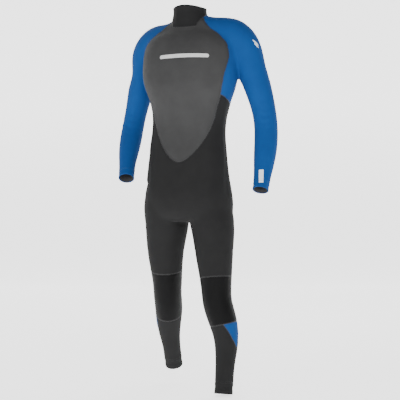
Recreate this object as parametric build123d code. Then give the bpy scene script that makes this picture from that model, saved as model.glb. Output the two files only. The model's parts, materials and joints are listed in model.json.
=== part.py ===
from build123d import *
import os
from math import cos, radians, sin

# A full-length neoprene wetsuit with a back zip, filled out as if worn.
# Millimetres. +X is the suit's left side, the chest faces -Y and +Z is up.
# The origin is the centre of the neck opening, level with the collar's rim.

# ---- driving dimensions ----
WALL = 3.0                    # thickness of the neoprene
HIP_Z = -802.0                # where the trunk ends and the two legs begin
WRIST_RADIUS = 30.0           # outside of the sleeve's cuff
WRIST_CUFF = 28.0             # length of the sleeve's cuff
ANKLE_RADIUS = 34.0
ANKLE_CUFF = 42.0

# Trunk, from the neck's root down: height, middle X, half width, front Y, back Y.
# The weight is on one leg, so the chest and the hips lean opposite ways.
TRUNK = [
    (-84, 0, 92, -62, 88),
    (-110, 0, 148, -84, 93),
    (-150, 1, 176, -106, 94.5),
    (-220, 4, 187, -119, 97.1),
    (-285, 6, 184, -122, 99.6),
    (-344, 6, 162, -113, 101.8),
    (-433, -6, 143, -92, 105.2),
    (-540, -12, 152, -97, 109.3),
    (-640, -12, 163, -110, 121),
    (-720, -9, 172, -116, 131),
    (-765, -8, 166, -104, 124),
    (-792, -6, 120, -62, 78),
]
# Neck, from the rim down: height, half width, half depth, centre Y
NECK = [
    (0, 62.5, 62, 0),
    (-40, 65, 64.5, 3),
    (-75, 74, 72, 7),
    (-125, 90, 82, 10),
]
# One arm: centre (X out from the middle, Y, Z), half depth, half thickness
LEFT_ARM = [
    ((0, 16, -112), 72, 84),
    ((60, 18, -112), 70, 80),
    ((112, 26, -113), 67, 71),
    ((160, 36, -119), 64, 68),
    ((197, 44, -152), 62, 61),
    ((217, 46, -205), 58, 57),
    ((243, 45, -280), 52, 51),
    ((266, 44, -350), 47, 46),
    ((283, 40, -425), 44, 43),
    ((294, 14, -520), 43, 42),
    ((299, -22, -600), 36, 35),
]
LEFT_WRIST = (302, -49, -653)
RIGHT_ARM = [
    ((0, 16, -112), 72, 76),
    ((60, 18, -112), 70, 70),
    ((112, 28, -117), 66, 62),
    ((160, 40, -127), 62, 63),
    ((195, 50, -156), 60, 59),
    ((212, 54, -208), 54, 52),
    ((228, 58, -280), 49, 47),
    ((248, 62, -350), 45, 43),
    ((266, 60, -432), 42, 41),
    ((263, 26, -505), 41, 40),
    ((251, -16, -566), 34, 33),
]
RIGHT_WRIST = (240, -44, -609)
# One leg: centre (X out from the middle, Y, Z), half depth, half thickness
LEFT_LEG = [
    ((82, 4, -700), 80, 64),
    ((89, 2, -802), 87, 80),
    ((97, -3, -860), 80, 74),
    ((103, -9, -930), 72, 66),
    ((111, -16, -1000), 63, 58),
    ((119, -22, -1080), 57, 53),
    ((137, -16, -1150), 56, 51),
    ((149, -12, -1210), 51, 45),
    ((153, -24, -1290), 40, 37),
]
LEFT_ANKLE = (154, -40, -1372)
RIGHT_LEG = [
    ((92, 4, -700), 84, 78),
    ((97, 6, -802), 87, 80),
    ((103, 12, -860), 79, 73),
    ((108, 20, -930), 70, 64),
    ((109, 32, -1000), 61, 56),
    ((116, 52, -1070), 56, 52),
    ((128, 88, -1140), 54, 50),
    ((142, 120, -1195), 48, 44),
    ((151, 156, -1265), 38, 35),
]
RIGHT_ANKLE = (156, 182, -1317)

# Where each limb bends and where its stretch zones begin and end, along the limb
ARMHOLE_TOP = (147, 4)        # X out from the middle and Z of the armhole's top
ARMHOLE_FOOT = {"left": (192, -288), "right": (181, -287)}    # the same for the armpits
SLEEVE_TOP_Z = -282.0         # where the sleeve leaves the armhole's stretch zone
ZONE_DEEP = 40.0              # how far below the armpit the armhole's cutting shape goes
ELBOW_Z = {"left": -425.0, "right": -432.0}
ELBOW_RING = 60.0             # half length of the elbow's stretch zone
KNEE_Z = {"left": -1080.0, "right": -1062.0}
KNEE_RING = 84.0              # half length of the knee's stretch zone
HIP_RING = 100.0              # length of the stretch zone under the trunk
KNEE_SEAM_BACK = 14.0         # the knee pad's side seams, behind the leg's middle

# Seams
COLLAR_SIDE_Z = -66.0         # the collar's lower seam at the sides of the neck
COLLAR_TILT = 15.0            # degrees that this seam drops towards the front
SIDE_Y = 6.0                  # plane between front and back of the trunk
UNDERARM = (-90, -322)        # Y and Z of the seam under the arms, at the chest panel
UNDERARM_TILT = 22.0          # degrees that this seam drops towards the back
# Left half of the chest panel's outline, from the neck down: X out, Z
CHEST_OUTLINE = [
    (67, 10), (70, -60), (98, -88), (150, -130), (176, -185), (168, -249),
    (152, -320), (126, -395), (94, -478), (52, -542), (0, -576),
]
BACK_OUTLINE = [
    (66, 10), (70, -50), (104, -84), (148, -130), (166, -185), (160, -249),
    (146, -320), (122, -395), (92, -470), (52, -526), (0, -556),
]
SHIN_INSET_LEFT = [(-16, -1098), (-66, -1158), (-40, -1212), (-14, -1252), (30, -1180)]
SHIN_INSET_RIGHT = [(84, -1082), (34, -1118), (76, -1190), (122, -1226), (140, -1150)]

# Back zip, along a straight line down the back
ZIP_TOP = (0, 92.6, -100.0)
ZIP_BOTTOM = (0, 110.0, -560.0)
SLIT_HALF = 1.5               # half width of the split in the back of the collar
SLIT_LAP = 5.0                # how far the split runs on into the zip's slot
SLOT_DEEP = 14.0              # how far the zip's slot is cut, in and out
TAPE_HALF = 15.0
TAPE_TOP = -0.6               # the tape's face, under the back panel's face
TAPE_THICK = 1.0
COIL_HALF = 2.6               # half width of the closed coil
COIL_HIGH = 0.7
COIL_LOW = -2.3
STOP_LENGTH = 4.0
FLAP_HALF = 34.0
FLAP_TOP = -9.0
FLAP_THICK = 2.0
SLIDER_LENGTH = 14.0
SLIDER_HALF = 5.0
SLIDER_PLATE = 1.3
DIVIDER_LENGTH = 4.0
SLIDER_PLAY = 0.3             # gap between the slider's plates and the coil
PIN_RADIUS = 0.9
PIN_PLAY = 0.1
EYE_RADIUS = 2.0
LUG_GAP = 5.8
LUG_WIDE = 1.4
PULL_LENGTH = 46.0
PULL_HALF = 4.5
PULL_THICK = 1.6

# Closing tab across the back of the collar
TAB_LEFT_X = 33.0             # its sewn end
TAB_RIGHT_X = -38.0           # its free end
TAB_TOP_Z = -7.0
TAB_LOW_Z = -35.0
LOOP_THICK = 1.0
HOOK_GAP = 0.3
HOOK_THICK = 0.9
TAB_THICK = 3.0

# Lengths that only let one solid run past another before it is cut
RIM_SPARE = 6.0
CUFF_SPARE = 5.0
ROUND_SPARE = 0.01
FAR = 900.0

def ellipse_at(centre, normal, deep, thick):
    """Elliptical face square to a limb's run, long way front to back."""
    return Plane(origin=centre, x_dir=(0, 1, 0), z_dir=normal) * Ellipse(deep, thick)


def above(shape, plane):
    return split(shape, bisect_by=plane, keep=Keep.TOP)


def below(shape, plane):
    return split(shape, bisect_by=plane, keep=Keep.BOTTOM)


def level(z):
    return Plane(origin=(0, 0, z))


def trunk_solid(inset):
    """The trunk's outside, or its inside when inset by the wall."""
    sections = []
    for z, middle, half, front, back in TRUNK:
        deep = (back - front) / 2 - inset
        height = z + inset if z == TRUNK[-1][0] else z      # leaves the crotch its wall
        at = Pos(middle, (front + back) / 2, height)
        sections.append(at * Ellipse(half - inset, deep))
    return loft(sections)


def neck_solid(inset):
    """The neck's tube; the inside runs out past the rim."""
    stations = [(RIM_SPARE, 62.5, 62, 0)] + NECK if inset else NECK
    faces = [Pos(0, y, z) * Ellipse(half - inset, deep - inset) for z, half, deep, y in stations]
    return loft(faces)


class Limb:
    """A sleeve or a leg: its outside, its inside and the start of its cuff."""

    def __init__(self, stations, end, end_radius, side, first_run):
        self.points = [Vector(side * x, y, z) for (x, y, z), _, _ in stations]
        self.cuff_start = Vector(side * end[0], end[1], end[2])
        self.cuff_run = (self.cuff_start - self.points[-1]).normalized()
        self.runs = [Vector(*first_run)]
        for i in range(1, len(self.points)):
            after = self.points[i + 1] if i + 1 < len(self.points) else self.cuff_start
            self.runs.append((after - self.points[i - 1]).normalized())
        self.sizes = [(deep, thick) for _, deep, thick in stations]
        self.end_radius = end_radius
        self.outside = self.solid(0)
        self.inside = self.solid(WALL)

    def solid(self, inset):
        faces = []
        for point, run, (deep, thick) in zip(self.points, self.runs, self.sizes):
            faces.append(ellipse_at(point, run, deep - inset, thick - inset))
        radius = self.end_radius - inset
        for ahead in (0, CUFF_SPARE):
            at = self.cuff_start + self.cuff_run * ahead
            faces.append(ellipse_at(at, self.cuff_run, radius + ROUND_SPARE, radius))
        return loft(faces)

    def plane_at(self, z):
        """Plane square to the limb where its centre line is at this height."""
        for i in range(1, len(self.points)):
            high, low = self.points[i - 1], self.points[i]
            if high.Z >= z >= low.Z:
                share = (high.Z - z) / (high.Z - low.Z)
                centre = high + (low - high) * share
                run = self.runs[i - 1] * (1 - share) + self.runs[i] * share
                return Plane(origin=centre, z_dir=run.normalized())
        return Plane(origin=self.cuff_start, z_dir=self.cuff_run)

    def between(self, start, end):
        """The wall between two planes square to the limb, each facing the cuff."""
        stretch = below(above(self.outside, start), end)
        return stretch.cut(below(above(self.inside, start), end))

    def cuff(self, length):
        """Round cuff that carries on from the sleeve or leg."""
        at = Plane(origin=self.cuff_start, x_dir=(0, 1, 0), z_dir=self.cuff_run)
        upright = (Align.CENTER, Align.CENTER, Align.MIN)
        tube = Cylinder(self.end_radius, length, align=upright)
        return at * (tube - Cylinder(self.end_radius - WALL, length, align=upright))


def slab_y(face, start, end):
    """Prism of an XZ outline between two Y planes."""
    return extrude(Pos(0, start, 0) * face, amount=end - start, dir=(0, 1, 0))


def trunk_walls(arms, legs, collar_plane, hip_plane):
    """Front and back half of the trunk's wall, with neck, shoulders and crotch."""
    arms_out = [below(a.outside, a.plane_at(SLEEVE_TOP_Z)) for a in arms.values()]
    arms_in = [below(a.inside, a.plane_at(SLEEVE_TOP_Z)) for a in arms.values()]
    legs_out = [below(leg.outside, hip_plane) for leg in legs.values()]
    legs_in = [below(leg.inside, hip_plane) for leg in legs.values()]
    neck_out = below(neck_solid(0), collar_plane)
    outside = trunk_solid(0).fuse(neck_out, *arms_out, *legs_out)
    inside = trunk_solid(WALL).fuse(neck_solid(WALL), *arms_in, *legs_in)
    middle = Plane(origin=(0, SIDE_Y, 0), z_dir=(0, 1, 0))
    collar = above(neck_solid(0), collar_plane)
    front = below(outside, middle).cut(below(inside, middle)).cut(collar)
    back = above(outside, middle).cut(above(inside, middle)).cut(collar)
    return front, back


def arm_zone(name, side):
    """Everything outwards of the armhole, on one side."""
    top = (side * ARMHOLE_TOP[0], ARMHOLE_TOP[1])
    foot = (side * ARMHOLE_FOOT[name][0], ARMHOLE_FOOT[name][1])
    low = foot[1] - ZONE_DEEP
    corners = [top, foot, (foot[0], low), (side * FAR, low), (side * FAR, top[1])]
    face = make_face(Polyline([Vector(x, 0, z) for x, z in corners], close=True))
    return slab_y(face, -FAR, FAR)


def half_outline(half):
    """Closed outline that is mirrored about the middle, open end at the neck."""
    left = [Vector(x, 0, z) for x, z in half]
    right = [Vector(-x, 0, z) for x, z in reversed(half[:-1])]
    curve = Spline(left + right)
    return make_face(Wire([curve, Line(right[-1], left[0])]))


def solids_by_side(shape):
    """The solids on the suit's left and on its right."""
    left = [s for s in shape.solids() if s.center().X > 0]
    right = [s for s in shape.solids() if s.center().X <= 0]
    return Compound(children=left), Compound(children=right)


def zip_box(x_range, down_range, out_range):
    """Box in the zip's own directions: across, down the back and outwards."""
    size = [b - a for a, b in (x_range, down_range, out_range)]
    middle = [(a + b) / 2 for a, b in (x_range, down_range, out_range)]
    return zip_plane * (Pos(*middle) * Box(*size))


def zip_parts():
    """The zip's fixed pieces, its slider and its pull tab."""
    start = STOP_LENGTH + 1
    top = start + DIVIDER_LENGTH + SLIDER_PLAY
    foot = zip_length - STOP_LENGTH
    coil_out = (COIL_LOW, COIL_HIGH)
    tape_out = (TAPE_TOP - TAPE_THICK, TAPE_TOP)
    stop_out = (COIL_LOW, COIL_HIGH + 0.4)
    parts = {
        "zip_tape_left": zip_box((COIL_HALF, TAPE_HALF), (0, zip_length), tape_out),
        "zip_tape_right": zip_box((-TAPE_HALF, -COIL_HALF), (0, zip_length), tape_out),
        "zip_coil_left": zip_box((0, COIL_HALF), (top, foot), coil_out),
        "zip_coil_right": zip_box((-COIL_HALF, 0), (top, foot), coil_out),
        "zip_top_stops": zip_box((0.4, COIL_HALF), (0, STOP_LENGTH), stop_out)
        + zip_box((-COIL_HALF, -0.4), (0, STOP_LENGTH), stop_out),
        "zip_bottom_stop": zip_box((-COIL_HALF, COIL_HALF), (foot, zip_length), stop_out),
        "zip_backing_flap": zip_box(
            (-FLAP_HALF, FLAP_HALF), (0, zip_length), (FLAP_TOP - FLAP_THICK, FLAP_TOP)
        ),
    }
    run = (start, start + SLIDER_LENGTH)
    high = COIL_HIGH + SLIDER_PLAY
    low = COIL_LOW - SLIDER_PLAY
    wide = (-SLIDER_HALF, SLIDER_HALF)
    slider = zip_box(wide, run, (high, high + SLIDER_PLATE))
    slider += zip_box(wide, run, (low - SLIDER_PLATE, low))
    slider += zip_box((-0.9, 0.9), (start, start + DIVIDER_LENGTH), (low, high))
    pin_down = start + 5
    pin_out = high + SLIDER_PLATE + EYE_RADIUS + 0.4
    for side in (-1, 1):
        near = side * LUG_GAP / 2
        lug_x = sorted((near, near + side * LUG_WIDE))
        lug_down = (pin_down - 2, pin_down + 2)
        slider += zip_box(lug_x, lug_down, (high + SLIDER_PLATE, pin_out + 1.6))
    along_x = Plane(origin=(0, pin_down, pin_out), x_dir=(0, 1, 0), z_dir=(1, 0, 0))
    slider += zip_plane * (along_x * Cylinder(PIN_RADIUS, LUG_GAP + LUG_WIDE))
    parts["zip_slider"] = slider

    eye = along_x * Cylinder(EYE_RADIUS, LUG_GAP - 0.6)
    blade = Box(2 * PULL_HALF, PULL_LENGTH, PULL_THICK)
    blade_start = pin_down + 3
    blade = Pos(0, blade_start + PULL_LENGTH / 2, pin_out) * blade
    neck = Pos(0, pin_down + 2.2, pin_out) * Box(LUG_GAP - 0.6, 4.4, PULL_THICK)
    pull = eye + neck + blade
    pull -= along_x * Cylinder(PIN_RADIUS + PIN_PLAY, LUG_GAP)
    pull -= Pos(0, blade_start + PULL_LENGTH - 6, pin_out) * Cylinder(1.8, 2 * PULL_THICK)
    parts["zip_pull_tab"] = zip_plane * pull
    return parts


def collar_parts(collar_plane):
    """The collar, split at the back, and its hook-and-loop closing tab."""
    ring = above(neck_solid(0), collar_plane) - neck_solid(WALL)
    ring = below(ring, level(0)) - slit

    def band(near, far, x_from, x_to):
        sheet = neck_solid(-far) - neck_solid(-near)
        size = (x_to - x_from, FAR / 2, TAB_TOP_Z - TAB_LOW_Z)
        low = (Align.MIN, Align.MIN, Align.MIN)
        return sheet & (Pos(x_from, 0, TAB_LOW_Z) * Box(*size, align=low))

    hooks = LOOP_THICK + HOOK_GAP
    tab = hooks + HOOK_THICK
    return {
        "collar": ring,
        "collar_loop_patch": band(0.0, LOOP_THICK, TAB_RIGHT_X, TAB_RIGHT_X + 34),
        "collar_tab_hooks": band(hooks, tab, TAB_RIGHT_X, TAB_RIGHT_X + 26),
        "collar_tab": band(tab, tab + TAB_THICK, TAB_RIGHT_X, TAB_LEFT_X),
    }


def trunk_parts(arms, legs, collar_plane):
    """The trunk's panels, cut out of one wall, and the armholes' stretch zones."""
    hip_plane = Plane(origin=(0, 0, HIP_Z), z_dir=(0, 0, -1))
    front, back = trunk_walls(arms, legs, collar_plane, hip_plane)
    parts = {}
    for name, side in SIDES.items():
        zone = arm_zone(name, side)
        parts[f"armhole_stretch_{name}"] = (front & zone) + (back & zone)
        front -= zone
        back -= zone
    chest_zone = slab_y(half_outline(CHEST_OUTLINE), -FAR, SIDE_Y)
    back_zone = slab_y(half_outline(BACK_OUTLINE), SIDE_Y, FAR)
    slot = zip_box((-TAPE_HALF, TAPE_HALF), (0, zip_length), (-SLOT_DEEP, SLOT_DEEP))
    underarm = Plane(
        origin=(0, UNDERARM[0], UNDERARM[1]),
        z_dir=(0, sin(radians(UNDERARM_TILT)), cos(radians(UNDERARM_TILT))),
    )
    parts["chest_panel"] = front & chest_zone
    front -= chest_zone
    back = back - slot - slit
    back_left, back_right = solids_by_side(back & back_zone)
    parts["back_panel_left"] = back_left
    parts["back_panel_right"] = back_right
    back -= back_zone
    fronts = solids_by_side(above(front, underarm))
    backs = solids_by_side(above(back, underarm))
    for name, fore, rear in zip(SIDES, fronts, backs):
        parts[f"shoulder_panel_{name}"] = fore + rear
    parts["front_body_panel"] = below(front, underarm)
    parts["back_body_panel"] = below(back, underarm)
    return parts


def sleeve_parts(name, arm):
    top = arm.plane_at(SLEEVE_TOP_Z)
    elbow_top = arm.plane_at(ELBOW_Z[name] + ELBOW_RING)
    elbow_foot = arm.plane_at(ELBOW_Z[name] - ELBOW_RING)
    wrist = Plane(origin=arm.cuff_start, z_dir=arm.cuff_run)
    return {
        f"upper_sleeve_{name}": arm.between(top, elbow_top),
        f"elbow_stretch_{name}": arm.between(elbow_top, elbow_foot),
        f"forearm_sleeve_{name}": arm.between(elbow_foot, wrist),
        f"wrist_cuff_{name}": arm.cuff(WRIST_CUFF),
    }


def leg_parts(name, leg, inset_outline):
    hip = Plane(origin=(0, 0, HIP_Z), z_dir=(0, 0, -1))
    hip_foot = leg.plane_at(HIP_Z - HIP_RING)
    knee_top = leg.plane_at(KNEE_Z[name] + KNEE_RING)
    knee_foot = leg.plane_at(KNEE_Z[name] - KNEE_RING)
    ankle = Plane(origin=leg.cuff_start, z_dir=leg.cuff_run)
    knee = leg.between(knee_top, knee_foot)
    middle = leg.plane_at(KNEE_Z[name])
    backwards = middle.z_dir.cross(Vector(1, 0, 0))
    if backwards.Y < 0:
        backwards = backwards * -1
    seam = Plane(origin=middle.origin + backwards * KNEE_SEAM_BACK, z_dir=backwards)
    shin = leg.between(knee_foot, ankle)
    face = make_face(Polyline([Vector(0, y, z) for y, z in inset_outline], close=True))
    side = SIDES[name]
    heights = [z for _, z in inset_outline]
    centre = leg.plane_at(sum(heights) / len(heights)).origin
    zone = Pos(centre.X, 0, 0) * extrude(face, amount=FAR, dir=(side, 0, 0))
    return {
        f"hip_stretch_{name}": leg.between(hip, hip_foot),
        f"thigh_panel_{name}": leg.between(hip_foot, knee_top),
        f"knee_pad_{name}": below(knee, seam),
        f"knee_back_{name}": above(knee, seam),
        f"shin_panel_{name}": shin - zone,
        f"calf_inset_{name}": shin & zone,
        f"ankle_cuff_{name}": leg.cuff(ANKLE_CUFF),
    }


SIDES = {"left": 1, "right": -1}
zip_run = Vector(*ZIP_BOTTOM) - Vector(*ZIP_TOP)
zip_length = zip_run.length
outwards = Vector(1, 0, 0).cross(zip_run.normalized())
zip_plane = Plane(origin=ZIP_TOP, x_dir=(1, 0, 0), z_dir=outwards)
slit = Pos(0, FAR / 2, ZIP_TOP[2] - SLIT_LAP) * Box(
    2 * SLIT_HALF, FAR, FAR, align=(Align.CENTER, Align.CENTER, Align.MIN)
)

sleeves = {
    "left": Limb(LEFT_ARM, LEFT_WRIST, WRIST_RADIUS, 1, (1, 0, 0)),
    "right": Limb(RIGHT_ARM, RIGHT_WRIST, WRIST_RADIUS, -1, (-1, 0, 0)),
}
trouser_legs = {
    "left": Limb(LEFT_LEG, LEFT_ANKLE, ANKLE_RADIUS, 1, (0, 0, -1)),
    "right": Limb(RIGHT_LEG, RIGHT_ANKLE, ANKLE_RADIUS, -1, (0, 0, -1)),
}
tilt = radians(COLLAR_TILT)
collar_seam = Plane(origin=(0, 0, COLLAR_SIDE_Z), z_dir=(0, -sin(tilt), cos(tilt)))

pieces = {}
pieces.update(collar_parts(collar_seam))
pieces.update(zip_parts())
for side_name in SIDES:
    pieces.update(sleeve_parts(side_name, sleeves[side_name]))
pieces.update(leg_parts("left", trouser_legs["left"], SHIN_INSET_LEFT))
pieces.update(leg_parts("right", trouser_legs["right"], SHIN_INSET_RIGHT))
pieces.update(trunk_parts(sleeves, trouser_legs, collar_seam))

os.makedirs("parts", exist_ok=True)
for node, shape in pieces.items():
    export_step(shape, f"parts/{node}.step")
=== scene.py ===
"""Looks for the full wetsuit: one smooth body surface taken from the CAD nodes, cut into neoprene
panels along their seams, with stitching, hems, a working-looking zip and procedural materials.
Metres, in the row frame: +X is the suit's left, the chest faces -Y and +Z is up."""

import json
import math

import bpy
import numpy as np
import openvdb
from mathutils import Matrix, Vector
from mathutils.bvhtree import BVHTree
from mathutils.kdtree import KDTree


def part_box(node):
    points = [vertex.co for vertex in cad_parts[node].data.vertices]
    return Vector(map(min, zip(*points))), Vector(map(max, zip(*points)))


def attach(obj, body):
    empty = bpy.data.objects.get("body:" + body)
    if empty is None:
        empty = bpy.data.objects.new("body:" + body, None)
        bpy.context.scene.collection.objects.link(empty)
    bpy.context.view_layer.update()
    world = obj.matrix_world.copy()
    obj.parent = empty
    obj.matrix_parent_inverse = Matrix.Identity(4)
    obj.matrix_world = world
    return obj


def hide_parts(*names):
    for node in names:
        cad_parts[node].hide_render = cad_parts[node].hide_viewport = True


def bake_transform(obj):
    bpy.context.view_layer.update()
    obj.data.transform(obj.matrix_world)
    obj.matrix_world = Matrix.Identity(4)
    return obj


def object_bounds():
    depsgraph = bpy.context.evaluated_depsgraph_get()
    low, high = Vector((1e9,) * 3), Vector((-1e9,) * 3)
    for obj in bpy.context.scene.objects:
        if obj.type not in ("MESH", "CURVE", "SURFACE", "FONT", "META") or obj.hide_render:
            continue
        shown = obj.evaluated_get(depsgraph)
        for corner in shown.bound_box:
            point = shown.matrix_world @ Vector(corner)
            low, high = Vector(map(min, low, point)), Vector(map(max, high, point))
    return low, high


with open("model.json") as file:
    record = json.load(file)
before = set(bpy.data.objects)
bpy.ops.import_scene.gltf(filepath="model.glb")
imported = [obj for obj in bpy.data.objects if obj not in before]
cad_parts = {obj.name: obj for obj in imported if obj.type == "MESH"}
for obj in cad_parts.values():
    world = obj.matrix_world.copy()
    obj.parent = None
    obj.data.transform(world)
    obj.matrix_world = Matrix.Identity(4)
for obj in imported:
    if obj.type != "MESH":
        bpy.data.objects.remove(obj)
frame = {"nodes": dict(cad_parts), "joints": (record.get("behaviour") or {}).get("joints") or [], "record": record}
cad_low, cad_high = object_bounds()

WALL = 0.003
VOXEL = 0.0045
REACH = 0.02          # how far a point looks for the CAD panel under it
LEAK = 1.2            # voxels: the outside doesn't pass through gaps narrower than twice this
SHARP, SOFT = 1.0, 2.3             # voxels: how much the surface is softened, and at armpits and crotch
ARMPIT_BAND = (-0.27, -0.2, -0.075, -0.05)        # heights where the armpits' softening comes and goes
CROTCH_BAND = (-0.79, -0.76, -0.73, -0.66)
CROTCH_SHARE = 0.8
SPLIT_HALF = 0.0015   # half width of the split in the back of the collar
SIDES = {"left": 1, "right": -1}
joints = {j["name"]: j for j in frame["joints"]}
mounts = {m["name"]: m for m in frame["record"]["mounts"]}
owner = {n: b for b, ns in frame["record"]["behaviour"]["bodies"].items() for n in ns}

# ---------------------------------------------------------------- panels and what they follow
TRIM = (
    "collar_loop_patch", "collar_tab", "collar_tab_hooks", "zip_slider", "zip_pull_tab",
    "zip_backing_flap", "zip_top_stops", "zip_bottom_stop", "zip_coil_left", "zip_coil_right",
    "zip_tape_left", "zip_tape_right",
)
PANELS = sorted(n for n in owner if n not in TRIM)
BENDS = {}
for side in SIDES:
    BENDS[f"armhole_stretch_{side}"] = (f"shoulder_{side}", "armhole")
    BENDS[f"elbow_stretch_{side}"] = (f"elbow_{side}", "ring")
    BENDS[f"hip_stretch_{side}"] = (f"hip_{side}", "ring")
    BENDS[f"knee_pad_{side}"] = (f"knee_{side}", "ring")
    BENDS[f"knee_back_{side}"] = (f"knee_{side}", "ring")


def middle(node):
    low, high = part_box(node)
    return np.array((low + high) / 2)


def arrays(obj):
    mesh = obj.data
    mesh.calc_loop_triangles()
    points = np.empty(len(mesh.vertices) * 3)
    mesh.vertices.foreach_get("co", points)
    tris = np.empty(len(mesh.loop_triangles) * 3, dtype=np.int64)
    mesh.loop_triangles.foreach_get("vertices", tris)
    return points.reshape(-1, 3), tris.reshape(-1, 3)


def unit(rows):
    return rows / np.maximum(np.linalg.norm(rows, axis=-1, keepdims=True), 1e-12)


# ---------------------------------------------------------------- the wearer's skeleton
def skeleton():
    """Straight pieces inside the body, to tell a panel's outside from its lining."""
    front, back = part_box("front_body_panel"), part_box("back_body_panel")
    trunk_y = (front[0].y + back[1].y) / 2
    chest = np.array((0.0, trunk_y + 0.01, -0.16))
    pelvis = np.array((-0.006, trunk_y, -0.73))
    lines = [((0, 0, 0.03), chest), (chest, pelvis)]
    for side in SIDES:
        elbow = np.array(joints[f"elbow_{side}"]["pos_m"])
        wrist = np.array(mounts[f"wrist_opening_{side}"]["pos_m"])
        shoulder = middle(f"armhole_stretch_{side}")
        upper, lower = middle(f"upper_sleeve_{side}"), middle(f"forearm_sleeve_{side}")
        arm = [chest, shoulder, upper, elbow, lower, wrist]
        hip = np.array(joints[f"hip_{side}"]["pos_m"])
        knee = np.array(joints[f"knee_{side}"]["pos_m"])
        ankle = np.array(mounts[f"ankle_opening_{side}"]["pos_m"])
        leg = [pelvis, hip, knee, middle(f"shin_panel_{side}"), ankle]
        for chain in (arm, leg):
            lines += list(zip(chain[:-1], chain[1:]))
    return [(np.array(a, float), np.array(b, float)) for a, b in lines]


BONES = skeleton()


def facing_out(points, normals):
    """How squarely each normal points away from the bones near its point."""
    gaps = []
    for a, b in BONES:
        t = np.clip((points - a) @ (b - a) / ((b - a) @ (b - a)), 0, 1)
        gaps.append(points - (a + t[:, None] * (b - a)))
    gaps = np.array(gaps)
    far = np.linalg.norm(gaps, axis=2)
    square = (unit(gaps) * normals).sum(2)
    square[far > 1.35 * far.min(0)] = 0
    return np.take_along_axis(square, np.abs(square).argmax(0)[None], axis=0)[0]


def outer_skin(node):
    """A CAD panel's outside faces."""
    points, tris = arrays(frame["nodes"][node])
    a, b, c = (points[tris[:, i]] for i in range(3))
    return points, tris[facing_out((a + b + c) / 3, unit(np.cross(b - a, c - a))) > 0.12]


# ---------------------------------------------------------------- one closed body surface
def prism(rim, along):
    """Closed solid between a ring of points and the same ring moved along."""
    count = len(rim)
    points = np.vstack([rim, rim + along, [rim.mean(0)], [rim.mean(0) + along]])
    tris = []
    for i in range(count):
        j = (i + 1) % count
        tris += [(i, j, count + j), (i, count + j, count + i)]
        tris += [(j, i, 2 * count), (count + i, count + j, 2 * count + 1)]
    return points, np.array(tris)


def ring_about(centre, axis, radius_a, radius_b=None, count=72):
    axis = np.array(axis, float)
    u = unit(np.cross(axis, (0.0, 1.0, 0.0)))
    v = np.cross(axis, u)
    turn = np.linspace(0, 2 * math.pi, count, endpoint=False)
    radius_b = radius_a if radius_b is None else radius_b
    return centre + np.outer(np.cos(turn) * radius_a, u) + np.outer(np.sin(turn) * radius_b, v)


skins = {node: outer_skin(node) for node in PANELS}
zip_skin = []
for node in ("zip_tape_left", "zip_tape_right", "zip_coil_left", "zip_coil_right"):
    points, tris = arrays(frame["nodes"][node])
    a, b, c = (points[tris[:, i]] for i in range(3))
    zip_skin.append((points, tris[unit(np.cross(b - a, c - a))[:, 1] > 0.5]))

openings = []             # (middle of the free edge, way out, what is cut)
plugs = []
for side in SIDES:
    for name in (f"wrist_opening_{side}", f"ankle_opening_{side}"):
        mount = mounts[name]
        axis = np.array(mount["axis"], float)
        half = mount["dims"]["length_mm"] / 2000
        edge = np.array(mount["pos_m"]) + axis * half
        radius = mount["dims"]["r_mm"] / 1000 + WALL
        plugs.append(prism(ring_about(edge - axis * half, axis, radius), axis * (half + 0.02)))
        openings.append((edge, axis))
collar_points = arrays(frame["nodes"]["collar"])[0]
rim = collar_points[collar_points[:, 2] > -0.002]
rim_half = (rim[:, 0].max() - rim[:, 0].min()) / 2
rim_deep = (rim[:, 1].max() - rim[:, 1].min()) / 2
plugs.append(prism(ring_about((0, 0, -0.02), (0, 0, 1), rim_half, rim_deep), np.array((0, 0, 0.045))))

# The split in the back of the collar is closed for now and cut open again below.
near_split = [
    p for n in ("collar", "back_panel_left", "back_panel_right")
    for p in skins[n][0][np.unique(skins[n][1])]
    if abs(p[0]) < 0.0035 and p[1] > 0.03 and p[2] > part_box("zip_tape_left")[1].z - 0.01
]
split_line = np.array(sorted({(round(p[1], 5), round(p[2], 5)) for p in near_split}, key=lambda q: -q[1]))
strip = np.array([(x, y, z) for y, z in split_line for x in (-0.004, 0.004)])
strip_tris = [(2 * i + k, 2 * i + 1 + k, 2 * i + 2) if k == 0 else (2 * i + 1, 2 * i + 3, 2 * i + 2)
              for i in range(len(split_line) - 1) for k in (0, 1)]


def joined(meshes):
    points, tris, count = [], [], 0
    for p, t in meshes:
        points.append(p)
        tris.append(np.asarray(t) + count)
        count += len(p)
    return np.vstack(points), np.vstack(tris)


def blurred(field, sigma):
    reach = int(math.ceil(3 * sigma))
    kernel = np.exp(-0.5 * (np.arange(-reach, reach + 1) / sigma) ** 2)
    kernel /= kernel.sum()
    for axis in range(3):
        pad = [(reach, reach) if i == axis else (0, 0) for i in range(3)]
        padded = np.pad(field, pad, mode="edge")
        total = np.zeros_like(field)
        size = field.shape[axis]
        for i, share in enumerate(kernel):
            cut = [slice(i, i + size) if k == axis else slice(None) for k in range(3)]
            total += share * padded[tuple(cut)]
        field = total
    return field


def smoothstep(low, high, value):
    t = np.clip((value - low) / (high - low), 0, 1)
    return t * t * (3 - 2 * t)


def band(heights, value):
    """1 between the two middle heights and 0 outside the outer two."""
    return smoothstep(*heights[:2], value) * (1 - smoothstep(*heights[2:], value))


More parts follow.
